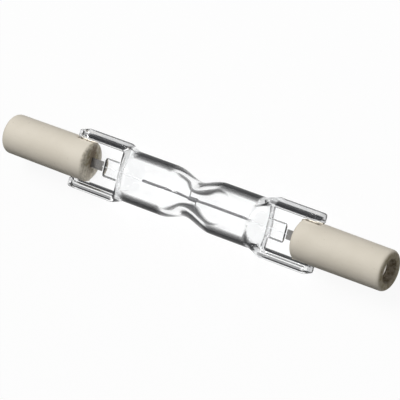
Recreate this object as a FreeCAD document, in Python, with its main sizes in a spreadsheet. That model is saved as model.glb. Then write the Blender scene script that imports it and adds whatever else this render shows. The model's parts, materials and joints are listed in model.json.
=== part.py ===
import FreeCAD, Part
import os
import Sketcher

# Linear halogen lamp in millimetres: X runs along the lamp, XY is the plane of its flat seals, Z is up.
# The origin is the middle of the lamp, on its axis.

Vector = FreeCAD.Vector
Rotation = FreeCAD.Rotation

doc = FreeCAD.newDocument("linear_halogen_bulb")
sheet = doc.addObject("Spreadsheet::Sheet", "Sheet")

SIZES = (
    # Whole lamp
    ("overall_length", 78.3),
    ("contact_depth", 1.7),
    # Quartz tube and its waist
    ("tube_d", 9.0),
    ("tube_wall", 1.25),
    ("waist_width", 6.4),
    ("waist_wall", 1.23),
    ("waist_length", 10.2),
    # Shoulders from the round tube to the flat seals
    ("shoulder_lead", 0.7),
    ("shoulder_length", 2.7),
    ("flare_length", 2.2),
    ("cavity_reach", 1.5),
    ("cavity_mouth_width", 8.0),
    ("cavity_mouth_height", 0.5),
    # Flat seals: a web between two rails, with a bay open to the cavity
    ("seal_in_cap", 3.3),
    ("seal_length", 11.25),
    ("seal_width", 10.4),
    ("rail_width", 1.1),
    ("rail_height", 3.2),
    ("web_height", 2.0),
    ("rail_round", 0.5),
    ("rail_lead_in", 0.7),
    ("bay_length", 3.75),
    ("bay_width", 3.4),
    ("bay_height", 1.1),
    ("bay_round", 0.45),
    # Foil in the web and the lead welded to it
    ("foil_gap_to_bay", 0.2),
    ("foil_length", 4.9),
    ("foil_width", 1.7),
    ("foil_height", 0.1),
    ("lead_d", 0.7),
    ("lead_overlap", 1.2),
    ("weld_depth", 0.05),
    # Filament: a coil with straight legs
    ("coil_length", 21.2),
    ("coil_d", 0.5),
    ("leg_d", 0.2),
    ("leg_overlap", 1.2),
    # Support wound on the coil at the waist
    ("support_length", 1.8),
    ("support_wire_d", 0.2),
    ("support_clearance", 0.01),
    # Ceramic cap
    ("cap_length", 17.6),
    ("cap_inner_d", 7.3),
    ("cap_outer_d", 7.1),
    ("cap_end_round", 0.8),
    ("cap_mouth_round", 0.6),
    ("slot_clearance", 0.2),
    ("slot_end_gap", 0.4),
    ("recess_d", 4.2),
    ("recess_chamfer", 0.25),
    ("recess_ledge", 0.25),
    ("lead_bore_d", 1.9),
    # Contact button
    ("contact_sink", 0.05),
    ("contact_clearance", 0.1),
    ("contact_rim", 0.35),
    ("contact_dish", 0.45),
    ("shank_clearance", 0.05),
    ("shank_length", 1.6),
    # Basing cement
    ("cement_setback", 0.05),
    # Places along the lamp, measured back from its ends
    ("contact_face", "=overall_length / 2 - contact_depth"),
    ("cap_start", "=overall_length / 2 - cap_length"),
    ("seal_end", "=cap_start + seal_in_cap"),
    ("seal_start", "=seal_end - seal_length"),
    ("shoulder_start", "=seal_start - shoulder_lead"),
    ("cavity_end", "=seal_start + cavity_reach"),
    ("bay_end", "=cavity_end + bay_length"),
)

for row, (name, value) in enumerate(SIZES, start=1):
    sheet.set(f"A{row}", name)
    sheet.set(f"B{row}", str(value))
    sheet.setAlias(f"B{row}", name)
doc.recompute()


def bind(item, **formulas):
    for name, formula in formulas.items():
        item.setExpression(name.replace("__", "."), formula)


def origin_plane(body, role):
    return next(f for f in body.Origin.OriginFeatures if f.Role == role)


def new_sketch(body, name, role):
    sketch = body.newObject("Sketcher::SketchObject", name)
    sketch.AttachmentSupport = [(origin_plane(body, role), "")]
    sketch.MapMode = "FlatFace"
    return sketch


def size(name):
    return float(sheet.get(name))


def polygon(sketch, corners):
    # Closed outline through corners given as (x formula or None, y formula or None, x guess, y guess).
    # A side whose ends share a formula is held upright or level, and each formula drives one corner.
    origin = (-1, 1)
    count = len(corners)
    for i in range(count):
        here = corners[i]
        after = corners[(i + 1) % count]
        sketch.addGeometry(Part.LineSegment(Vector(here[2], here[3], 0), Vector(after[2], after[3], 0)), False)
    for i in range(count):
        sketch.addConstraint(Sketcher.Constraint("Coincident", i, 2, (i + 1) % count, 1))
    for axis, kind in ((0, "DistanceX"), (1, "DistanceY")):
        for i in range(count):
            formula = corners[i][axis]
            before = corners[i - 1][axis]
            if i > 0 and formula == before:
                level = "Vertical" if axis == 0 else "Horizontal"
                sketch.addConstraint(Sketcher.Constraint(level, i - 1))
                continue
            if i == count - 1 and formula == corners[0][axis]:
                level = "Vertical" if axis == 0 else "Horizontal"
                sketch.addConstraint(Sketcher.Constraint(level, i))
                continue
            guess = corners[i][2 + axis]
            index = sketch.addConstraint(Sketcher.Constraint(kind, *origin, i, 1, guess))
            sketch.setExpression(f"Constraints[{index}]", formula)


def value_of(formula):
    # Starting value for a sketch corner, from the same formula that drives it.
    result = sheet.evalExpression(formula)
    return float(getattr(result, "Value", result))


def corner(x_formula, y_formula):
    return (x_formula, y_formula, value_of(x_formula), value_of(y_formula))


def edges_where(shape, test):
    return [f"Edge{i}" for i, edge in enumerate(shape.Edges, start=1) if test(edge)]


def dress(body, kind, name, base, test, size_name):
    doc.recompute()
    feature = body.newObject(f"PartDesign::{kind}", name)
    feature.Base = (base, edges_where(base.Shape, test))
    feature.setExpression("Radius" if kind == "Fillet" else "Size", size_name)
    doc.recompute()
    return feature


def mirrored(source, name):
    item = doc.addObject("Part::Mirroring", name)
    item.Source = source
    item.Normal = Vector(1, 0, 0)
    return item


def fuse(name, shapes):
    item = doc.addObject("Part::MultiFuse", name)
    item.Shapes = shapes
    item.Refine = True
    return item


def cut(name, base, tool):
    item = doc.addObject("Part::Cut", name)
    item.Base = base
    item.Tool = tool
    return item


def common(name, base, tool):
    item = doc.addObject("Part::Common", name)
    item.Base = base
    item.Tool = tool
    return item


# Cross-sections of the tube are ellipses square to X, with the long axis along Y or along Z.
LONG_Y = Rotation(Vector(1, 1, 1), 120)
LONG_Z = Rotation(Vector(1, 0, 1), 180)
ALONG_X = Rotation(Vector(0, 1, 0), 90)


def section(name, turn, place, long_half, short_half):
    ring = doc.addObject("Part::Ellipse", name)
    ring.Placement = FreeCAD.Placement(Vector(), turn)
    bind(ring, MajorRadius=long_half, MinorRadius=short_half, Placement__Base__x=place)
    return ring


def loft(name, rings):
    item = doc.addObject("Part::Loft", name)
    item.Sections = rings
    item.Solid = True
    item.Ruled = False
    return item


def round_bar(name, start, length, diameter, lift=None):
    bar = doc.addObject("Part::Cylinder", name)
    bar.Placement = FreeCAD.Placement(Vector(), ALONG_X)
    bind(bar, Radius=f"({diameter}) / 2", Height=length, Placement__Base__x=start)
    if lift:
        bind(bar, Placement__Base__z=lift)
    return bar


# Shares of the half waist and of the shoulder at which the tube's sections stand
WAIST_STEPS = (-1.0, -0.92, -0.78, -0.6, -0.4, -0.2, 0.0, 0.2, 0.4, 0.6, 0.78, 0.92, 1.0)
SHOULDER_STEPS = (0.0, 0.08, 0.22, 0.4, 0.6, 0.78, 0.92, 1.0)


def waist(name, tube_half, waist_half):
    rings = []
    for i, step in enumerate(WAIST_STEPS):
        dip = f"(1 + cos({180 * abs(step)} deg)) / 2"
        narrow = f"({tube_half}) - (({tube_half}) - ({waist_half})) * {dip}"
        place = f"{step} * Sheet.waist_length / 2"
        rings.append(section(f"{name}_ring_{i}", LONG_Z, place, tube_half, narrow))
    return loft(name, rings)


def shoulder(name, tube_half, end_wide, end_thin, end_place):
    rings = []
    for i, step in enumerate(SHOULDER_STEPS):
        along = f"{step} * (({end_place}) - Sheet.shoulder_start)"
        flare = f"(1 - cos(180 deg * min(1; {along} / Sheet.flare_length))) / 2"
        fall = f"(1 - cos({180 * step} deg)) / 2"
        wide = f"({tube_half}) + (({end_wide}) - ({tube_half})) * {flare}"
        thin = f"({tube_half}) - (({tube_half}) - ({end_thin})) * {fall}"
        rings.append(section(f"{name}_ring_{i}", LONG_Y, f"Sheet.shoulder_start + {along}", wide, thin))
    return loft(name, rings)


def straight(name, diameter):
    return round_bar(name, "Sheet.waist_length / 2", "Sheet.shoulder_start - Sheet.waist_length / 2", diameter)


# Foil, lead and filament: what the glass is pressed around
foil_start = "Sheet.bay_end + Sheet.foil_gap_to_bay"
foil_end = f"{foil_start} + Sheet.foil_length"
foil_right = doc.addObject("Part::Box", "foil_right")
bind(foil_right, Length="Sheet.foil_length", Width="Sheet.foil_width", Height="Sheet.foil_height")
bind(foil_right, Placement__Base__x=foil_start, Placement__Base__y="-Sheet.foil_width / 2")
bind(foil_right, Placement__Base__z="-Sheet.foil_height / 2")

contact_face = "Sheet.contact_face"
contact_seat = f"{contact_face} - Sheet.contact_dish - Sheet.contact_rim"
shank_end = f"{contact_seat} - Sheet.shank_length"
lead_start = f"{foil_end} - Sheet.lead_overlap"
lead_lift = "(Sheet.foil_height + Sheet.lead_d) / 2 - Sheet.weld_depth"
lead_wire = round_bar("lead_wire", lead_start, f"({shank_end}) - ({lead_start})", "Sheet.lead_d", lead_lift)
outer_lead_right = cut("outer_lead_right", lead_wire, foil_right)

coil = round_bar("coil", "-Sheet.coil_length / 2", "Sheet.coil_length", "Sheet.coil_d")
leg_lift = "(Sheet.foil_height + Sheet.leg_d) / 2 - Sheet.weld_depth"
leg_start = "Sheet.coil_length / 2 - Sheet.leg_d"
leg_wire = round_bar(
    "leg_wire", leg_start, f"{foil_start} + Sheet.leg_overlap - ({leg_start})", "Sheet.leg_d", leg_lift)
leg_right = cut("leg_right", leg_wire, foil_right)
leg_left = mirrored(leg_right, "leg_left")
filament = fuse("filament", [coil, leg_right, leg_left])

foil_left = mirrored(foil_right, "foil_left")
outer_lead_left = mirrored(outer_lead_right, "outer_lead_left")

# Outside of the quartz: waisted tube, straight bulges, shoulders
tube_half = "Sheet.tube_d / 2"
waist_half = "Sheet.waist_width / 2"
bore_half = f"{tube_half} - Sheet.tube_wall"
waist_bore_half = f"{waist_half} - Sheet.waist_wall"
web_half = "Sheet.web_height / 2"
shoulder_end = "Sheet.shoulder_start + Sheet.shoulder_length"

skin_waist = waist("skin_waist", tube_half, waist_half)
skin_right = straight("skin_right", "Sheet.tube_d")
skin_shoulder_right = shoulder("skin_shoulder_right", tube_half, "Sheet.seal_width / 2", web_half, shoulder_end)

# Flat seal: a bar with a channel pressed into each broad side, which leaves a web between two rails
seal = doc.addObject("PartDesign::Body", "seal_right")
bar_sketch = new_sketch(seal, "seal_outline", "YZ_Plane")
bar_sketch.setExpression("AttachmentOffset.Base.z", "Sheet.seal_start")
half_wide = "Sheet.seal_width / 2"
half_rail = "Sheet.rail_height / 2"
polygon(bar_sketch, [
    corner(f"-{half_wide}", f"-{half_rail}"),
    corner(half_wide, f"-{half_rail}"),
    corner(half_wide, half_rail),
    corner(f"-{half_wide}", half_rail),
])
bar = seal.newObject("PartDesign::Pad", "seal_bar")
bar.Profile = bar_sketch
bar.setExpression("Length", "Sheet.seal_end - Sheet.seal_start")
doc.recompute()


def long_edge(edge):
    box = edge.BoundBox
    return box.XLength > max(box.YLength, box.ZLength) and edge.Curve.TypeId == "Part::GeomLine"


def start_edge(edge):
    return edge.BoundBox.XMax < size("seal_start") + 0.001


lead_in = dress(seal, "Chamfer", "rail_lead_in", bar, start_edge, "Sheet.rail_lead_in")
bar_round = dress(seal, "Fillet", "seal_bar_round", lead_in, long_edge, "Sheet.rail_round")

channel_sketch = new_sketch(seal, "channel_outline", "YZ_Plane")
channel_sketch.setExpression("AttachmentOffset.Base.z", "Sheet.seal_start")
half_channel = "(Sheet.seal_width / 2 - Sheet.rail_width)"
polygon(channel_sketch, [
    corner(f"-{half_channel}", web_half),
    corner(half_channel, web_half),
    corner(half_channel, "Sheet.rail_height"),
    corner(f"-{half_channel}", "Sheet.rail_height"),
])
channel = seal.newObject("PartDesign::Pocket", "channel")
channel.Profile = channel_sketch
channel.Reversed = True
channel.setExpression("Length", "Sheet.seal_end - Sheet.seal_start")
doc.recompute()
both_channels = seal.newObject("PartDesign::Mirrored", "both_channels")
both_channels.Originals = [channel]
both_channels.MirrorPlane = (origin_plane(seal, "XY_Plane"), [""])
seal.Tip = both_channels
doc.recompute()


def channel_lip(edge):
    if not long_edge(edge):
        return False
    middle = edge.BoundBox.Center
    at_lip = abs(abs(middle.y) - (size("seal_width") / 2 - size("rail_width"))) < 0.001
    return at_lip and abs(abs(middle.z) - size("rail_height") / 2) < 0.001


seal_round = dress(seal, "Fillet", "channel_lip_round", both_channels, channel_lip, "Sheet.rail_round / 2")


def seal_end_edge(edge):
    box = edge.BoundBox
    return box.XLength < 0.001 and abs(box.XMax - size("seal_end")) < 0.001


seal_blunt = dress(seal, "Fillet", "seal_end_round", seal_round, seal_end_edge, "Sheet.rail_round / 3")
seal.Tip = seal_blunt
doc.recompute()

right_skin = [skin_right, skin_shoulder_right, seal]
left_skin = [mirrored(piece, piece.Name.replace("right", "left")) for piece in right_skin]
skin = fuse("skin", [skin_waist] + right_skin + left_skin)

# Cavity: the same forms one wall inwards, ending in a thin wide mouth and a bay in the seal
hollow_waist = waist("hollow_waist", bore_half, waist_bore_half)
hollow_right = straight("hollow_right", f"2 * ({bore_half})")
hollow_shoulder_right = shoulder(
    "hollow_shoulder_right", bore_half, "Sheet.cavity_mouth_width / 2", "Sheet.cavity_mouth_height / 2",
    "Sheet.cavity_end")

bay = doc.addObject("PartDesign::Body", "bay_right")
bay_sketch = new_sketch(bay, "bay_outline", "XY_Plane")
half_bay = "Sheet.bay_width / 2"
polygon(bay_sketch, [
    corner("Sheet.seal_start", f"-{half_bay}"),
    corner("Sheet.bay_end", f"-{half_bay}"),
    corner("Sheet.bay_end", half_bay),
    corner("Sheet.seal_start", half_bay),
])
bay_block = bay.newObject("PartDesign::Pad", "bay_block")
bay_block.Profile = bay_sketch
bay_block.SideType = "Symmetric"
bay_block.setExpression("Length", "Sheet.bay_height")
doc.recompute()


def bay_edge(edge):
    return edge.BoundBox.XMax > size("bay_end") - 0.001


bay_round = dress(bay, "Fillet", "bay_round", bay_block, bay_edge, "Sheet.bay_round")
bay.Tip = bay_round
doc.recompute()

right_hollow = [hollow_right, hollow_shoulder_right, bay]
left_hollow = [mirrored(piece, piece.Name.replace("right", "left")) for piece in right_hollow]
hollow = fuse("hollow", [hollow_waist] + right_hollow + left_hollow)

sealed_in = fuse("sealed_in", [hollow, filament, foil_right, foil_left, outer_lead_right, outer_lead_left])
quartz_envelope = cut("quartz_envelope", skin, sealed_in)

# Filament support: wire wound on the coil, with arms out to the dented walls
sleeve = round_bar(
    "sleeve", "-Sheet.support_length / 2", "Sheet.support_length",
    "Sheet.coil_d + 2 * Sheet.support_clearance + 2 * Sheet.support_wire_d")
coil_room = round_bar(
    "coil_room", "-Sheet.support_length", "2 * Sheet.support_length",
    "Sheet.coil_d + 2 * Sheet.support_clearance")


def arm(name, turn_angle, place):
    item = doc.addObject("Part::Cylinder", name)
    item.Placement = FreeCAD.Placement(Vector(), Rotation(Vector(1, 0, 0), turn_angle))
    bind(item, Radius="Sheet.support_wire_d / 2", Height=waist_bore_half, Placement__Base__x=place)
    return item


arm_place = "(Sheet.support_length / 2 - Sheet.support_wire_d)"
upper_arm = arm("upper_arm", -90, f"-{arm_place}")
lower_arm = arm("lower_arm", 90, arm_place)
support_solid = fuse("support_solid", [sleeve, upper_arm, lower_arm])
filament_support = cut("filament_support", support_solid, coil_room)

# Ceramic cap: a tapered barrel with a bore for the lead and a recess that steps down to the contact's seat
half_length = "Sheet.overall_length / 2"
cap_start = "Sheet.cap_start"
slot_floor = "Sheet.seal_end + Sheet.slot_end_gap"
slot_half = f"{web_half} + Sheet.slot_clearance"
recess_floor = f"{contact_face} + Sheet.contact_sink"
seat_half = "Sheet.recess_d / 2 - Sheet.recess_ledge"

cap_right = doc.addObject("PartDesign::Body", "cap_right")
barrel_sketch = new_sketch(cap_right, "barrel_outline", "XY_Plane")
polygon(barrel_sketch, [
    corner(cap_start, "Sheet.lead_bore_d / 2"),
    corner(cap_start, "Sheet.cap_inner_d / 2"),
    corner(half_length, "Sheet.cap_outer_d / 2"),
    corner(half_length, "Sheet.recess_d / 2"),
    corner(recess_floor, "Sheet.recess_d / 2"),
    corner(recess_floor, seat_half),
    corner(contact_seat, seat_half),
    corner(contact_seat, "Sheet.lead_bore_d / 2"),
])
barrel = cap_right.newObject("PartDesign::Revolution", "barrel")
barrel.Profile = barrel_sketch
barrel.ReferenceAxis = (barrel_sketch, ["H_Axis"])
doc.recompute()


def ring_at(place_name, radius_name):
    place = value_of(place_name)
    radius = value_of(radius_name)

    def test(edge):
        box = edge.BoundBox
        flat = box.XLength < 0.001 and abs(box.XMax - place) < 0.001
        return flat and abs(box.ZMax - radius) < 0.001
    return test


end_round = dress(
    cap_right, "Fillet", "cap_end_round", barrel, ring_at(half_length, "Sheet.cap_outer_d / 2"),
    "Sheet.cap_end_round")
recess_lip = dress(
    cap_right, "Chamfer", "recess_lip", end_round, ring_at(half_length, "Sheet.recess_d / 2"),
    "Sheet.recess_chamfer")

slot_sketch = new_sketch(cap_right, "slot_outline", "XZ_Plane")
polygon(slot_sketch, [
    corner(f"{cap_start} - Sheet.cap_length", f"-({slot_half})"),
    corner(slot_floor, f"-({slot_half})"),
    corner(slot_floor, slot_half),
    corner(f"{cap_start} - Sheet.cap_length", slot_half),
])
slot = cap_right.newObject("PartDesign::Pocket", "slot")
slot.Profile = slot_sketch
slot.SideType = "Symmetric"
slot.setExpression("Length", "2 * Sheet.cap_inner_d")
doc.recompute()


def mouth_edge(edge):
    box = edge.BoundBox
    flat = box.XLength < 0.001 and abs(box.XMax - value_of(cap_start)) < 0.001
    return flat and edge.Curve.TypeId == "Part::GeomCircle" and edge.Curve.Radius > size("lead_bore_d")


mouth_round = dress(cap_right, "Fillet", "mouth_round", slot, mouth_edge, "Sheet.cap_mouth_round")
cap_right.Tip = mouth_round
doc.recompute()

# Contact button: a dished disc sunk in its seat, with a shank in the bore
contact_right = doc.addObject("PartDesign::Body", "contact_right")
button_sketch = new_sketch(contact_right, "button_outline", "XY_Plane")
button_half = f"({seat_half} - Sheet.contact_clearance)"
shank_half = "(Sheet.lead_bore_d / 2 - Sheet.shank_clearance)"
polygon(button_sketch, [
    corner(shank_end, "0"),
    corner(shank_end, shank_half),
    corner(contact_seat, shank_half),
    corner(contact_seat, button_half),
    corner(contact_face, button_half),
    corner(contact_face, f"{button_half} * 0.9"),
    corner(f"{contact_face} - Sheet.contact_dish", f"{button_half} * 0.35"),
    corner(f"{contact_face} - Sheet.contact_dish", "0"),
])
button = contact_right.newObject("PartDesign::Revolution", "button")
button.Profile = button_sketch
button.ReferenceAxis = (button_sketch, ["H_Axis"])
doc.recompute()

# Basing cement: fills the cap's slot around the web, short of the cap's mouth and sides
plug = doc.addObject("Part::Box", "plug")
bind(plug, Length=f"{slot_floor} - ({cap_start}) - Sheet.cement_setback", Width="2 * Sheet.cap_inner_d")
bind(plug, Height=f"2 * ({slot_half})", Placement__Base__x=f"{cap_start} + Sheet.cement_setback")
bind(plug, Placement__Base__y="-Sheet.cap_inner_d", Placement__Base__z=f"-({slot_half})")
plug_round = round_bar(
    "plug_round", cap_start, "Sheet.cap_length", "Sheet.cap_outer_d - 2 * Sheet.cement_setback")
plug_disc = common("plug_disc", plug, plug_round)
cement_right = cut("cement_right", plug_disc, fuse("seal_and_lead", [seal, outer_lead_right]))

cap_left = mirrored(cap_right, "cap_left")
contact_left = mirrored(contact_right, "contact_left")
cement_left = mirrored(cement_right, "cement_left")
doc.recompute()

NODES = (
    quartz_envelope, filament, filament_support,
    foil_left, foil_right, outer_lead_left, outer_lead_right,
    cap_left, cap_right, contact_left, contact_right, cement_left, cement_right,
)

for item in doc.Objects:
    if "Invalid" in item.State or "Error" in item.State:
        raise RuntimeError(f"{item.Name} failed: {item.State}")
for node in NODES:
    shape = node.Shape
    if shape.isNull() or not shape.isValid() or len(shape.Solids) != 1:
        raise RuntimeError(f"{node.Name} is not one sound solid ({len(shape.Solids)} solids)")

os.makedirs("parts", exist_ok=True)
for node in NODES:
    node.Label = node.Name
    node.Shape.exportStep(f"parts/{node.Label}.step")
    print(node.Label, round(node.Shape.Volume, 4))
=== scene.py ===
import json
import math

import bpy
from mathutils import Matrix, Vector

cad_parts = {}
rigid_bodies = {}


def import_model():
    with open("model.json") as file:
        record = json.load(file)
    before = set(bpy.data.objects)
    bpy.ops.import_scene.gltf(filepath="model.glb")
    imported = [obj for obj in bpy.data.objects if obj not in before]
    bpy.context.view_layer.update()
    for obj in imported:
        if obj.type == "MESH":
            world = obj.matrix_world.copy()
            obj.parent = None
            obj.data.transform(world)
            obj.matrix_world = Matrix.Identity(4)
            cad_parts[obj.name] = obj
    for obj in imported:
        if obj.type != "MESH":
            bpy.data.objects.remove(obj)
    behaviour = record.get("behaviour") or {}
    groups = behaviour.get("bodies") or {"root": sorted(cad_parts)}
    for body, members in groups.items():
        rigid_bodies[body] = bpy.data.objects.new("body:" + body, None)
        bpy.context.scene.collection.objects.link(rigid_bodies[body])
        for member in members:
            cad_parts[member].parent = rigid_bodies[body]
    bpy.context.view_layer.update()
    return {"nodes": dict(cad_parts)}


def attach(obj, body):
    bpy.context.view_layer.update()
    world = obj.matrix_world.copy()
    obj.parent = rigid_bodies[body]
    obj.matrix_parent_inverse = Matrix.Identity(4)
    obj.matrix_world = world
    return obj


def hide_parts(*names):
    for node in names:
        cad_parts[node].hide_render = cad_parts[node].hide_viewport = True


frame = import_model()

# Sizes are in millimetres, and meshes are in metres
MM = 0.001
PER_METRE = 1000.0


def box_of(node_name):
    """Low and high corner of a node of the frame, to a thousandth of a millimetre."""
    corners = [tuple(corner) for corner in frame["nodes"][node_name].bound_box]
    low = [round(min(values) * PER_METRE, 3) for values in zip(*corners)]
    high = [round(max(values) * PER_METRE, 3) for values in zip(*corners)]
    return low, high


# Places along the lamp from its middle, and half sizes across it, from the frame
SEAL_END, SEAL_HALF, TUBE_HALF = box_of("quartz_envelope")[1]
CAP_START, LAMP_END = [corner[0] for corner in box_of("cap_right")]
CONTACT_FACE = box_of("contact_right")[1][0]

# Places along and across the lamp that a node's box doesn't tell
WAIST_END = 5.1
SHOULDER_START = 12.9
HOLLOW_END = 15.1
BAY_END = 18.85
RAIL_FOOT = SEAL_HALF - 1.4
RECESS_HALF = 2.1
# How far the patch of painted shade round the slot's mouth lies to one side of the lead
SLOT_SHADE_ASIDE = 0.8


# Arithmetic on sockets
class Value:
    """A number or vector that flows through a node tree and takes part in arithmetic."""

    def __init__(self, tree, socket):
        self.tree = tree
        self.socket = socket

    def math(self, operation, *others, flipped=False):
        terms = [*others, self] if flipped else [self, *others]
        return self.tree.node("ShaderNodeMath", {"operation": operation}, dict(enumerate(terms)))

    def __add__(self, other):
        return self.math("ADD", other)

    def __radd__(self, other):
        return self.math("ADD", other)

    def __sub__(self, other):
        return self.math("SUBTRACT", other)

    def __rsub__(self, other):
        return self.math("SUBTRACT", other, flipped=True)

    def __mul__(self, other):
        return self.math("MULTIPLY", other)

    def __rmul__(self, other):
        return self.math("MULTIPLY", other)

    def __truediv__(self, other):
        return self.math("DIVIDE", other)

    def __rtruediv__(self, other):
        return self.math("DIVIDE", other, flipped=True)

    def __pow__(self, other):
        return self.math("POWER", other)

    def __rpow__(self, other):
        return self.math("POWER", other, flipped=True)

    def __abs__(self):
        return self.math("ABSOLUTE")

    def least(self, other):
        return self.math("MINIMUM", other)

    def most(self, other):
        return self.math("MAXIMUM", other)

    def limited(self):
        return self.least(1.0).most(0.0)

    def sign(self):
        return self.math("SIGN")

    def cosine(self):
        return self.math("COSINE")

    def sine(self):
        return self.math("SINE")

    def ease(self, low, high):
        """0 below low, 1 above high, with a soft run between."""
        sockets = {"Value": self, "From Min": low, "From Max": high}
        return self.tree.node("ShaderNodeMapRange", {"interpolation_type": "SMOOTHSTEP"}, sockets)

    def within(self, start, full, fade, end):
        """1 between full and fade, 0 outside start and end, with soft runs between."""
        return self.ease(start, full) * (1 - self.ease(fade, end))


class Tree:
    """A node tree whose nodes all come from one method."""

    def __init__(self, tree):
        self.tree = tree

    def made(self, kind, settings=None, sockets=None):
        item = self.tree.nodes.new(kind)
        for name, value in (settings or {}).items():
            if name == "stops":
                self.set_stops(item.color_ramp, value)
            elif name == "capture":
                item.capture_items.new("BOOLEAN", value)
            else:
                setattr(item, name, value)
        for name, value in (sockets or {}).items():
            self.feed(item.inputs[name], value)
        return item

    def node(self, kind, settings=None, sockets=None, output=0):
        return Value(self, self.made(kind, settings, sockets).outputs[output])

    def feed(self, socket, value):
        """Link or set a socket. A list goes to a socket that takes many links, in the list's order."""
        if isinstance(value, list):
            for item in reversed(value):
                self.feed(socket, item)
        elif isinstance(value, Value):
            self.tree.links.new(value.socket, socket)
        else:
            socket.default_value = value

    @staticmethod
    def set_stops(ramp, stops):
        while len(ramp.elements) < len(stops):
            ramp.elements.new(1.0)
        for element, (place, colour) in zip(ramp.elements, stops):
            element.position = place
            element.color = (*colour, 1.0)

    def parts_of(self, vector):
        split = self.made("ShaderNodeSeparateXYZ", None, {"Vector": vector})
        return [Value(self, out) for out in split.outputs]

    def vector(self, x, y, z):
        return self.node("ShaderNodeCombineXYZ", None, {"X": x, "Y": y, "Z": z})

    def background_rays(self):
        """1 for rays that show the background: straight to the camera, mirrored or sent through glass."""
        path = self.made("ShaderNodeLightPath")
        names = ("Is Camera Ray", "Is Glossy Ray", "Is Transmission Ray")
        camera, glossy, sent = [Value(self, path.outputs[name]) for name in names]
        return camera.most(glossy).most(sent)


# Materials
class Finish(Tree):
    """A material's tree, with the noise, bump and shaders that the finishes share."""

    def __init__(self, name):
        self.material = bpy.data.materials.new(name)
        self.material.use_nodes = True
        super().__init__(self.material.node_tree)
        self.tree.nodes.clear()
        self.place = self.node("ShaderNodeTexCoord", None, None, "Object")

    def millimetres(self):
        """The place on the lamp: along it, across its seals and up."""
        return [part * PER_METRE for part in self.parts_of(self.place)]

    def noise(self, scale, detail=3.0, rough=0.5, stretch=None):
        place = self.place
        if stretch:
            place = self.node("ShaderNodeMapping", None, {"Vector": place, "Scale": stretch})
        sockets = {"Vector": place, "Scale": scale, "Detail": detail, "Roughness": rough}
        return self.node("ShaderNodeTexNoise", None, sockets)

    def mottle(self):
        """Blotches a little under a millimetre wide."""
        return self.noise(1300.0, 3.0, 0.65).ease(0.32, 0.68)

    def slot_shade_patch(self, across, up, ragged, start, end):
        """1 in the middle of a ragged patch of painted shade round the slot's mouth, which lies a little to
        one side of the lead.
        """
        aside = across - SLOT_SHADE_ASIDE
        return 1 - ((aside * aside + up * up) ** 0.5 + ragged).ease(start, end)

    def bump(self, height, depth, strength):
        """Relief whose depth is in millimetres."""
        sockets = {"Height": height, "Distance": depth * MM, "Strength": strength}
        return self.node("ShaderNodeBump", None, sockets)

    def mix(self, share, first, second):
        """A colour between two colours, each a value or red, green and blue."""
        first, second = [
            colour if isinstance(colour, Value) else (*colour, 1.0) for colour in (first, second)]
        return self.node("ShaderNodeMix", {"data_type": "RGBA"}, {0: share, 6: first, 7: second}, 2)

    def curve(self, value, stops):
        """A value that runs through the given (place, height) stops."""
        grey = [(place, (height, height, height)) for place, height in stops]
        return self.node("ShaderNodeValToRGB", {"stops": grey}, {"Fac": value})

    def surface(self, **sockets):
        named = {name.replace("_", " "): value for name, value in sockets.items()}
        return self.node("ShaderNodeBsdfPrincipled", None, named)

    def blend(self, share, first, second):
        return self.node("ShaderNodeMixShader", None, {0: share, 1: first, 2: second})

    def done(self, shader):
        self.made("ShaderNodeOutputMaterial", None, {"Surface": shader})
        return self.material


def steatite():
    """Unglazed beige ceramic with fine grain and a few specks, stained at its ends, with painted shade in
    its recess and round the lead's slot.
    """
    beige, pale_beige, speck = (0.70, 0.645, 0.545), (0.755, 0.70, 0.60), (0.42, 0.37, 0.29)
    # The end colour is a stain; the recess and slot colours are painted shade
    end_stain, recess_painted_shade, slot_shade_brown = (0.23, 0.195, 0.12), (0.16, 0.125, 0.07), (0.21, 0.175, 0.10)
    clay = Finish("steatite")
    cloud = clay.noise(160.0, 4.0)
    grain = clay.noise(2600.0, 2.0, 0.6)
    specks = clay.noise(1500.0, 1.0).ease(0.70, 0.78)
    mottle = clay.mottle()
    along, across, up = clay.millimetres()
    along = abs(along)
    out = (across * across + up * up) ** 0.5

    end = along.ease(LAMP_END - 0.4, LAMP_END)
    # Painted shade, blotchy, inside the recess that holds the contact
    recess = along.ease(CONTACT_FACE - 0.85, CONTACT_FACE - 0.25)
    recess = recess * (1 - out.ease(RECESS_HALF + 0.02, RECESS_HALF + 0.2))
    # Painted shade in a ragged patch round the slot's mouth on each cap's inner face
    inner = 1 - along.ease(CAP_START + 0.15, CAP_START + 0.45)
    slot_shade = inner * clay.slot_shade_patch(across, up, 1.8 * mottle, 1.8, 5.5)

    shade = clay.mix(cloud.ease(0.3, 0.7), beige, pale_beige)
    shade = clay.mix(specks * 0.2, shade, speck)
    shade = clay.mix(end * (0.72 + 0.28 * mottle), shade, end_stain)
    shade = clay.mix(recess * (0.50 + 0.48 * mottle), shade, recess_painted_shade)
    shade = clay.mix(0.92 * slot_shade, shade, slot_shade_brown)
    rough = 0.62 + 0.16 * grain
    relief = clay.bump(grain + 0.6 * cloud, 0.04, 0.5)
    return clay.done(clay.surface(Base_Color=shade, Roughness=rough, Normal=relief, Specular_IOR_Level=0.35))


def basing_cement():
    """Pale gritty cement with painted brown shade where the lead comes through the slot's mouth."""
    grey, pale, slot_shade_brown = (0.58, 0.52, 0.42), (0.70, 0.64, 0.53), (0.19, 0.145, 0.095)
    cement = Finish("basing cement")
    grit = cement.noise(1800.0, 4.0, 0.7)
    _, across, up = cement.millimetres()
    shade = cement.mix(grit.ease(0.3, 0.7), grey, pale)
    # Painted shade round the lead, darkest in the middle of the slot's mouth
    shade = cement.mix(cement.slot_shade_patch(across, up, 1.4 * cement.mottle(), 1.4, 5.0), shade, slot_shade_brown)
    return cement.done(cement.surface(Base_Color=shade, Roughness=0.85, Normal=cement.bump(grit, 0.1, 0.8)))
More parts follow.
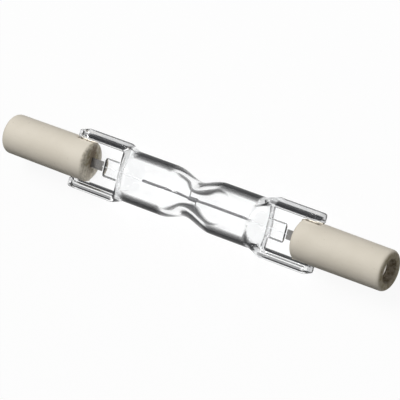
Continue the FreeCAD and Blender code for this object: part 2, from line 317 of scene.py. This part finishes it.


# Share of painted shade on the glass, by how steeply a face turns from the view
DEEP_LINE = ((0.34, 0.0), (0.395, 1.0), (0.47, 1.0), (0.56, 0.7))
TUBE_SHADE_BAND = ((0.24, 0.0), (0.27, 0.55), (0.30, 0.8), (0.36, 0.85))
TUBE_EDGE = ((0.42, 0.0), (0.58, 0.85), (0.80, 0.88), (1.0, 0.75))
WAIST_LINE = ((0.40, 0.0), (0.54, 0.97))
BAY_LINE = ((0.26, 0.0), (0.40, 1.0))
SKIN_LIP = ((0.40, 0.0), (0.55, 0.95))
HOLLOW_LIP = ((0.30, 0.0), (0.50, 0.9))


class Quartz(Finish):
    """Clear glass with painted shade: a near-black surface is mixed in on edges and steep faces, for light
    that turns back inside the wall.
    """

    def __init__(self, name):
        super().__init__(name)
        self.steep = self.node("ShaderNodeLayerWeight", None, {"Blend": 0.5}, "Facing")
        self.inside = self.node("ShaderNodeNewGeometry", None, None, "Backfacing")
        self.along, self.across, _ = [abs(part) for part in self.millimetres()]

    def line(self, stops):
        return self.curve(self.steep, stops)

    def straight(self, fade, end):
        """1 along the straight tube, with a soft end past the start of the shoulder."""
        start, full = WAIST_END - 0.9, WAIST_END + 0.3
        return self.along.within(start, full, SHOULDER_START + fade, SHOULDER_START + end)

    def clear(self):
        """Plain quartz, with faint ripples along the tube."""
        ripple = self.noise(220.0, 2.0, 0.5, (0.15, 1.0, 1.0))
        tint = self.mix(ripple, (0.985, 0.99, 0.992), (1.0, 1.0, 1.0))
        relief = self.bump(ripple, 0.02, 0.25)
        return self.surface(Base_Color=tint, Roughness=0.0, IOR=1.46, Transmission_Weight=1.0, Normal=relief)

    def finished(self, from_inside, from_outside, at_lip):
        """The material, with painted shade where a face is met from inside or outside, and at the lip."""
        along, across, inside = self.along, self.across, self.inside
        outside = 1 - inside

        # Where the glass is pressed or seated, the painted shade is held back and part of the glass shows
        # straight through
        shoulder = along.within(
            SHOULDER_START - 0.5, SHOULDER_START + 0.4, HOLLOW_END - 0.05, HOLLOW_END + 0.1)
        shoulder = shoulder * (0.95 - 0.2 * across.ease(RAIL_FOOT - 0.3, RAIL_FOOT + 0.2))
        foot = along.within(HOLLOW_END - 0.5, HOLLOW_END - 0.1, HOLLOW_END + 0.7, HOLLOW_END + 0.9)
        foot = foot * (1 - across.ease(RAIL_FOOT - 0.6, RAIL_FOOT - 0.35))
        seated = along.ease(CAP_START - 0.35, CAP_START + 0.05)
        seated = seated * (1 - across.ease(RAIL_FOOT - 0.2, RAIL_FOOT))
        outer_strip = along.ease(HOLLOW_END - 1.1, HOLLOW_END - 0.1)
        outer_strip = outer_strip * across.ease(SEAL_HALF - 0.35, SEAL_HALF - 0.2)
        seal_end = along.ease(SEAL_END - 1.25, SEAL_END - 0.65)
        rail_end = along.ease(SEAL_END - 0.95, SEAL_END - 0.45)
        shade_kept = (1 - shoulder.most(0.95 * foot)) * (1 - seal_end.most(seated).most(outer_strip))
        shown_through = inside * (0.75 * shoulder).most(0.15 * foot) + outside * 0.6 * outer_strip.most(rail_end)

        # A faint band of painted shade along the straight tube
        shade_band = self.straight(0.9, 1.7) * self.line(TUBE_SHADE_BAND)
        lip = along.within(HOLLOW_END - 1.2, HOLLOW_END - 0.6, HOLLOW_END + 0.2, HOLLOW_END + 0.4)
        lip = lip * (1 - across.ease(RAIL_FOOT + 0.1, RAIL_FOOT + 0.5))
        painted_shade = (inside * from_inside.most(shade_band) + outside * from_outside) * shade_kept
        painted_shade = painted_shade.most(outside * at_lip * lip)

        # A near-black surface, mixed in as painted shade
        dark = self.surface(Base_Color=(0.02, 0.021, 0.023, 1), Roughness=0.5, Specular_IOR_Level=0.1)
        through = self.node("ShaderNodeBsdfTransparent", None, {"Color": (0.93, 0.935, 0.94, 1)})
        seen = self.blend(shown_through, self.blend(painted_shade, self.clear(), dark), through)
        shadow = self.node("ShaderNodeLightPath", None, None, "Is Shadow Ray")
        return self.done(self.blend(shadow, seen, through))


def skin_quartz():
    """The glass's outside, with painted shade along the tube's edges and beside the rails of the seals."""
    glass = Quartz("fused quartz skin")
    across = glass.across
    in_seal = glass.along.ease(HOLLOW_END - 0.1, HOLLOW_END + 0.5)
    rail_side = across.within(RAIL_FOOT - 0.35, RAIL_FOOT - 0.2, RAIL_FOOT + 0.5, RAIL_FOOT + 0.65)
    rail_top = across.within(SEAL_HALF - 1.0, SEAL_HALF - 0.85, SEAL_HALF - 0.45, SEAL_HALF - 0.3)
    deep = glass.line(DEEP_LINE).most(0.97 * in_seal * rail_side)
    grazing = (glass.straight(0.6, 1.6) * glass.line(TUBE_EDGE)).most(0.65 * in_seal * rail_top)
    return glass.finished(deep, grazing, glass.line(SKIN_LIP))


def hollow_quartz():
    """The wall of the hollow, with painted shade along the waist and round the bays."""
    glass = Quartz("fused quartz hollow")
    waist = 1 - glass.along.ease(WAIST_END - 0.7, WAIST_END + 0.5)
    bay = glass.along.ease(HOLLOW_END + 0.05, HOLLOW_END + 0.3)
    grazing = (waist * glass.line(WAIST_LINE)).most(bay * glass.line(BAY_LINE))
    return glass.finished(glass.line(DEEP_LINE), grazing, glass.line(HOLLOW_LIP))


def drawn_metal(name, dark, light, rough):
    """Wire or strip with fine lines along its length."""
    metal = Finish(name)
    lines = metal.noise(3000.0, 3.0, 0.6, (0.05, 1.0, 1.0))
    shade = metal.mix(lines, dark, light)
    rough = rough + 0.12 * lines
    relief = metal.bump(lines, 0.01, 0.4)
    return metal.done(metal.surface(Base_Color=shade, Roughness=rough, Metallic=1.0, Normal=relief))


def nickel_plate():
    """Satin plating with light wear."""
    plate = Finish("nickel plate")
    wear = plate.noise(700.0, 4.0)
    shade = plate.mix(wear, (0.40, 0.38, 0.34), (0.60, 0.57, 0.52))
    return plate.done(plate.surface(Base_Color=shade, Roughness=0.22 + 0.15 * wear, Metallic=1.0))


STEATITE = steatite()
QUARTZ_SKIN = skin_quartz()
QUARTZ_HOLLOW = hollow_quartz()
# The coil's and support's tungsten is a darker copy of the legs' bright tungsten: painted shade between
# close turns
SHADED_TUNGSTEN = drawn_metal("shade-darkened tungsten wire", (0.16, 0.16, 0.163), (0.27, 0.27, 0.274), 0.6)
BRIGHT_TUNGSTEN = drawn_metal("bright tungsten", (0.60, 0.60, 0.61), (0.78, 0.78, 0.79), 0.35)
MOLYBDENUM = drawn_metal("molybdenum", (0.09, 0.087, 0.082), (0.20, 0.193, 0.183), 0.45)
NICKEL = nickel_plate()
CEMENT = basing_cement()

DRESS = {
    "cap": STEATITE, "contact": NICKEL, "cement": CEMENT, "foil": MOLYBDENUM, "outer_lead": MOLYBDENUM,
}
for name, node in frame["nodes"].items():
    for start, material in DRESS.items():
        if name.startswith(start):
            node.data.materials.clear()
            node.data.materials.append(material)


# Pieces made by geometry trees
class Shape(Tree):
    """A geometry tree with named sizes, which makes one finished mesh."""

    def __init__(self, name, **sizes):
        self.group = bpy.data.node_groups.new(name, "GeometryNodeTree")
        super().__init__(self.group)
        self.name = name
        self.sizes = sizes
        self.group.interface.new_socket("Geometry", in_out="OUTPUT", socket_type="NodeSocketGeometry")
        self.ids = {}
        for size_name in sizes:
            made = self.group.interface.new_socket(size_name, in_out="INPUT", socket_type="NodeSocketFloat")
            self.ids[size_name] = made.identifier
        self.source = self.made("NodeGroupInput")

    def size(self, name):
        return Value(self, self.source.outputs[name])

    def sheet(self, rows, columns):
        """A sheet to wrap round X, its place from -1 to 1, its turn, and a height that closes its ends."""
        step = 2.0 / (rows - 1)
        sockets = {"Size X": 2.0, "Size Y": 2 * math.pi, "Vertices X": rows, "Vertices Y": columns + 1}
        flat = self.node("GeometryNodeMeshGrid", None, sockets)
        along, around, _ = self.parts_of(self.node("GeometryNodeInputPosition"))
        reach = (along * (1 / (1 - step))).least(1.0).most(-1.0)
        closing = 1 - ((abs(along) - (1 - step)) / step).most(0.0)
        return flat, reach, around, closing

    def wrapped(self, flat, x, y, z):
        """The sheet with its points at x, y, z in millimetres, and its seams closed."""
        seam = 0.0001 * MM
        place = self.vector(x * MM, y * MM, z * MM)
        placed = self.node("GeometryNodeSetPosition", None, {"Geometry": flat, "Position": place})
        return self.node("GeometryNodeMergeByDistance", None, {"Geometry": placed, "Distance": seam})

    def rod(self, path, radius, sides):
        """Wire along a path, closed at its ends."""
        sockets = {"Resolution": sides, "Radius": radius * MM}
        ring = self.node("GeometryNodeCurvePrimitiveCircle", None, sockets)
        sockets = {"Curve": path, "Profile Curve": ring, "Fill Caps": True}
        return self.node("GeometryNodeCurveToMesh", None, sockets)

    def line(self, start, end):
        return self.node("GeometryNodeCurvePrimitiveLine", None, {"Start": start, "End": end})

    def screw_line(self, length, turns, radius, points_per_turn):
        """A screw line along X, with its middle at the origin."""
        sockets = {
            "Resolution": points_per_turn, "Rotations": turns, "Start Radius": radius * MM,
            "End Radius": radius * MM, "Height": length * MM,
        }
        spiral = self.node("GeometryNodeCurveSpiral", None, sockets)
        sockets = {
            "Geometry": spiral, "Rotation": (0.0, math.pi / 2, 0.0),
            "Translation": self.vector(length * (-MM / 2), 0.0, 0.0),
        }
        return self.node("GeometryNodeTransform", None, sockets)

    def join(self, pieces):
        return self.node("GeometryNodeJoinGeometry", None, {"Geometry": pieces})

    def ended(self, main, material, others):
        """The tree's end: the main form and the others, real and each in its own material."""
        pieces = [main]
        marks = []
        for form, _ in others:
            settings = {"domain": "FACE", "capture": "Marked"}
            held = self.made("GeometryNodeCaptureAttribute", settings, {"Geometry": form, "Marked": True})
            pieces.append(Value(self, held.outputs["Geometry"]))
            marks.append(Value(self, held.outputs["Marked"]))
        smooth = self.node("GeometryNodeSetShadeSmooth", None, {"Geometry": self.join(pieces)})
        real = self.node("GeometryNodeRealizeInstances", None, {"Geometry": smooth})
        dressed = self.node("GeometryNodeSetMaterial", None, {"Geometry": real, "Material": material})
        for mark, (_, other_material) in zip(marks, others):
            sockets = {"Geometry": dressed, "Selection": mark, "Material": other_material}
            dressed = self.node("GeometryNodeSetMaterial", None, sockets)
        self.made("NodeGroupOutput", None, {"Geometry": dressed})

    def baked(self):
        """A plain mesh, made by the tree with its named sizes."""
        holder = bpy.data.objects.new(self.name + " maker", bpy.data.meshes.new(self.name + " blank"))
        bpy.context.scene.collection.objects.link(holder)
        modifier = holder.modifiers.new("make", "NODES")
        modifier.node_group = self.group
        for size_name, value in self.sizes.items():
            modifier[self.ids[size_name]] = value
        ready = holder.evaluated_get(bpy.context.evaluated_depsgraph_get())
        mesh = bpy.data.meshes.new_from_object(ready)
        holder.modifiers.clear()
        bpy.data.objects.remove(holder)
        mesh.name = self.name
        return mesh

    def finished(self, replaced, slot, main, material, others=()):
        """The piece, which takes the place of a node of the frame."""
        self.ended(main, material, others)
        piece = bpy.data.objects.new(self.name, self.baked())
        bpy.context.scene.collection.objects.link(piece)
        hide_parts(replaced)
        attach(piece, "root")


def swell(distance, run):
    """0 at the start and 1 at the end of a run, as a smooth wave."""
    return (1 - ((distance / run).limited() * math.pi).cosine()) / 2


def rounded_drop(share):
    """How far a rounded edge has fallen, as a share of its radius, at a share of the way over it."""
    return 1 - (1 - share * share) ** 0.5


def quartz_skin(glass):
    """Outside of the glass: round in the tube, a web between two rails in the seals."""
    flat, reach, around, closing = glass.sheet(rows=260, columns=232)
    x = reach * glass.size("seal_end")
    far = abs(x)
    dip = 1 - swell(far, glass.size("waist_run"))
    pressed = swell(far - glass.size("shoulder_start"), glass.size("shoulder_run"))
    across, up = around.cosine(), around.sine()
    tube_half = glass.size("tube_half")
    round_y = (tube_half - (tube_half - glass.size("waist_half")) * dip) * abs(across)
    round_z = tube_half * abs(up)

    # In the seal, each quarter turn goes up the side of a rail, over the rail and along the web
    side_share, rail_share = 0.1, 0.5
    web_share = 1 - side_share - rail_share
    seal_half, rail_reach = glass.size("seal_half"), glass.size("rail_reach")
    edge_round, web_half = glass.size("edge_round"), glass.size("web_half")
    turn = abs(up).math("ARCTAN2", abs(across)) * (2 / math.pi)
    over_rail = ((turn - side_share) / rail_share).limited()
    over_web = ((turn - (side_share + rail_share)) / web_share).limited()
    flat_y = seal_half - rail_reach * over_rail - (seal_half - rail_reach) * over_web
    drop = edge_round * rounded_drop(((flat_y - seal_half) / edge_round + 1.0).limited())
    rise = (flat_y - glass.size("rail_foot")).ease(0.0, glass.size("flank_run"))
    rise = (glass.size("rail_half") - web_half) * rise
    flat_z = (turn / side_share).limited() * (web_half + rise - drop)

    blunt = rounded_drop(((far - glass.size("seal_end")) / glass.size("blunt_run") + 1.0).limited())
    y = across.sign() * (round_y + (flat_y - round_y) * pressed) * (1 - glass.size("blunt_in") * blunt)
    z = up.sign() * (round_z + (flat_z - round_z) * pressed) * (1 - glass.size("blunt_down") * blunt)
    return glass.node("GeometryNodeFlipFaces", None, {"Mesh": glass.wrapped(flat, x, y, z * closing)})


def quartz_hollow(glass):
    """Hollow one wall inwards, which narrows to a slit at each shoulder and steps to a bay in each seal."""
    flat, reach, around, closing = glass.sheet(rows=220, columns=120)
    mouth, bay_end, step_run = glass.size("hollow_end"), glass.size("bay_end"), glass.size("step_run")
    spread = abs(reach) * (bay_end + step_run)
    far = spread.least(mouth) + (spread - mouth - step_run).most(0.0)
    stepped = ((spread - mouth) / step_run).limited()
    past = far - glass.size("shoulder_start")
    bore = glass.size("bore_half")
    dip = 1 - swell(far, glass.size("waist_run"))
    flare = swell(past, glass.size("flare_run"))
    fall = swell(past, mouth - glass.size("shoulder_start"))
    half_y = bore - (bore - glass.size("waist_bore")) * dip + (glass.size("mouth_half") - bore) * flare
    half_z = bore - (bore - glass.size("mouth_height")) * fall
    half_y = half_y + (glass.size("bay_half") - half_y) * stepped
    half_z = half_z + (glass.size("bay_height") - half_z) * stepped

    # The bay is squarer than the tube, and rounded at its end
    bay_round = glass.size("bay_round")
    power = 1 - glass.size("bay_square") * stepped
    across, up = around.cosine(), around.sine()
    across = across.sign() * abs(across) ** power
    up = up.sign() * abs(up) ** power
    end_round = 1 - ((far - bay_end + bay_round).most(0.0) / bay_round) ** 2.0
    trim = stepped * (1 - end_round.most(0.0) ** 0.5)
    y = half_y * across * (1 - glass.size("bay_in") * trim)
    z = half_z * up * (1 - glass.size("bay_down") * trim)
    return glass.wrapped(flat, reach.sign() * far, y, z * closing)


def quartz_tube():
    """Waisted tube pressed flat at both ends, with a hollow that ends in a bay in each seal."""
    glass = Shape(
        "quartz_tube", tube_half=TUBE_HALF, waist_half=3.2, waist_run=WAIST_END,
        shoulder_start=SHOULDER_START, shoulder_run=2.7, seal_end=SEAL_END, seal_half=SEAL_HALF,
        web_half=1.0, rail_half=1.6, rail_reach=1.5, rail_foot=RAIL_FOOT, flank_run=0.35, edge_round=0.4,
        blunt_run=0.7, blunt_in=0.09, blunt_down=0.35,
        bore_half=3.25, waist_bore=1.97, flare_run=2.2, hollow_end=HOLLOW_END, mouth_half=4.0,
        mouth_height=0.25, step_run=0.4, bay_end=BAY_END, bay_half=1.7, bay_height=0.55, bay_round=0.45,
        bay_square=0.25, bay_in=0.26, bay_down=0.8)
    hollow = (quartz_hollow(glass), QUARTZ_HOLLOW)
    glass.finished("quartz_envelope", "quartz", quartz_skin(glass), QUARTZ_SKIN, [hollow])


def filament():
    """Close-wound coil on the axis, with a straight leg at each end."""
    wire = Shape(
        "filament_coil", coil_length=21.2, coil_turns=130.0, coil_half=0.18, wire_half=0.065,
        leg_half=0.07, leg_start=10.35, leg_end=19.2, leg_lift=0.1)
    turns = wire.screw_line(
        wire.size("coil_length"), wire.size("coil_turns"), wire.size("coil_half"), points_per_turn=14)
    coil = wire.rod(turns, wire.size("wire_half"), sides=6)
    lift = wire.size("leg_lift") * MM
    legs = []
    for side in (-1, 1):
        start = wire.vector(wire.size("leg_start") * (side * MM), 0.0, lift)
        end = wire.vector(wire.size("leg_end") * (side * MM), 0.0, lift)
        legs.append(wire.rod(wire.line(start, end), wire.size("leg_half"), sides=10))
    wire.finished("filament", "tungsten", coil, SHADED_TUNGSTEN, [(wire.join(legs), BRIGHT_TUNGSTEN)])


def filament_support():
    """Wire wound round the coil at the waist, with an arm out to each dented wall."""
    wire = Shape(
        "support_winding", wound_length=1.6, wound_turns=7.0, wound_half=0.36, wire_half=0.09,
        arm_place=0.7, arm_start=0.34, arm_end=1.95)
    turns = wire.screw_line(
        wire.size("wound_length"), wire.size("wound_turns"), wire.size("wound_half"), points_per_turn=20)
    pieces = [wire.rod(turns, wire.size("wire_half"), sides=8)]
    for side in (-1, 1):
        place = wire.size("arm_place") * (side * MM)
        start = wire.vector(place, wire.size("arm_start") * (-side * MM), 0.0)
        end = wire.vector(place, wire.size("arm_end") * (-side * MM), 0.0)
        pieces.append(wire.rod(wire.line(start, end), wire.size("wire_half"), sides=8))
    wire.finished("filament_support", "tungsten", wire.join(pieces), SHADED_TUNGSTEN)


def cement_face(name, side):
    """Cement across the mouth of a cap's slot, in front of the lead."""
    near, far = CAP_START + 0.07, CAP_START + 0.35
    half_y, half_z = 3.45, 1.18
    corners = [
        (side * x * MM, y * MM, z * MM)
        for x in (near, far) for y in (-half_y, half_y) for z in (-half_z, half_z)]
    faces = [(0, 1, 3, 2), (4, 6, 7, 5), (0, 4, 5, 1), (2, 3, 7, 6), (0, 2, 6, 4), (1, 5, 7, 3)]
    if side < 0:
        faces = [face[::-1] for face in faces]
    mesh = bpy.data.meshes.new(name)
    mesh.from_pydata(corners, [], faces)
    mesh.materials.append(CEMENT)
    piece = bpy.data.objects.new(name, mesh)
    bpy.context.scene.collection.objects.link(piece)
    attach(piece, "root")


quartz_tube()
filament()
filament_support()
cement_face("cement_face_left", -1)
cement_face("cement_face_right", 1)


# Stage, lamps and camera
def stage_floor():
    """Floor that shows white, takes the shadow and sends little light back up."""
    half, low, glow_share = 3.0, -TUBE_HALF * MM, 0.93
    paint = Finish("pale floor")
    plain = paint.surface(Base_Color=(0.16, 0.16, 0.16, 1), Roughness=0.9, Specular_IOR_Level=0.0)
    pale = paint.surface(Base_Color=(0.9, 0.9, 0.9, 1), Roughness=0.9, Specular_IOR_Level=0.0)
    glow = paint.node("ShaderNodeEmission", None, {"Color": (1, 1, 1, 1), "Strength": 1.0})
    white = paint.blend(glow_share, pale, glow)
    corners = [(-half, -half, low), (half, -half, low), (half, half, low), (-half, half, low)]
    mesh = bpy.data.meshes.new("floor")
    mesh.from_pydata(corners, [], [(0, 1, 2, 3)])
    mesh.materials.append(paint.done(paint.blend(paint.background_rays(), plain, white)))
    floor = bpy.data.objects.new("floor", mesh)
    bpy.context.scene.collection.objects.link(floor)


def stage_world():
    """White room behind the lamp, which lights it only a little."""
    room_light = 0.08
    world = bpy.data.worlds.new("soft room")
    world.use_nodes = True
    bpy.context.scene.world = world
    room = Tree(world.node_tree)
    room.tree.nodes.clear()
    strength = room_light + (1 - room_light) * room.background_rays()
    back = room.node("ShaderNodeBackground", None, {"Color": (1, 1, 1, 1), "Strength": strength})
    room.made("ShaderNodeOutputWorld", None, {"Surface": back})


def soft_lamp(name, place, size, power):
    """Round soft lamp, aimed at the middle of the scene. Its place and size are in metres."""
    lamp = bpy.data.lights.new(name, "AREA")
    lamp.shape = "DISK"
    lamp.size = size
    lamp.energy = power
    item = bpy.data.objects.new(name, lamp)
    item.location = place
    item.rotation_euler = (-Vector(place)).to_track_quat("-Z", "Y").to_euler()
    bpy.context.scene.collection.objects.link(item)


def photo_camera():
    """Long lens that looks down on the lamp from its right end, rolled about its own line of sight."""
    distance, lens, sensor = 0.4925, 262.6, 36.0
    endwise, lean, roll = 0.5, math.radians(10.5), math.radians(20.2)
    aim_right, aim_up = 0.96 * MM, -0.08 * MM
    toward = Vector((endwise, math.sin(lean), 0.0))
    toward.z = math.sqrt(1 - toward.length_squared)
    level = (Vector((1, 0, 0)) - toward * toward.x).normalized()
    rise = toward.cross(level)
    right = math.cos(roll) * level + math.sin(roll) * rise
    up = -math.sin(roll) * level + math.cos(roll) * rise
    data = bpy.data.cameras.new("camera")
    data.sensor_width = sensor
    data.lens = lens
    data.clip_start = 0.01
    camera = bpy.data.objects.new("camera", data)
    place = toward * distance + right * aim_right + up * aim_up
    camera.matrix_world = Matrix.Translation(place) @ Matrix((right, up, toward)).transposed().to_4x4()
    bpy.context.scene.collection.objects.link(camera)
    bpy.context.scene.camera = camera


stage_floor()
stage_world()
soft_lamp("key", place=(-0.185, 0.46, 0.775), size=0.50, power=7.4)
soft_lamp("fill", place=(0.86, 0.08, 0.22), size=0.36, power=1.5)
photo_camera()
bpy.context.scene.view_settings.view_transform = "Standard"
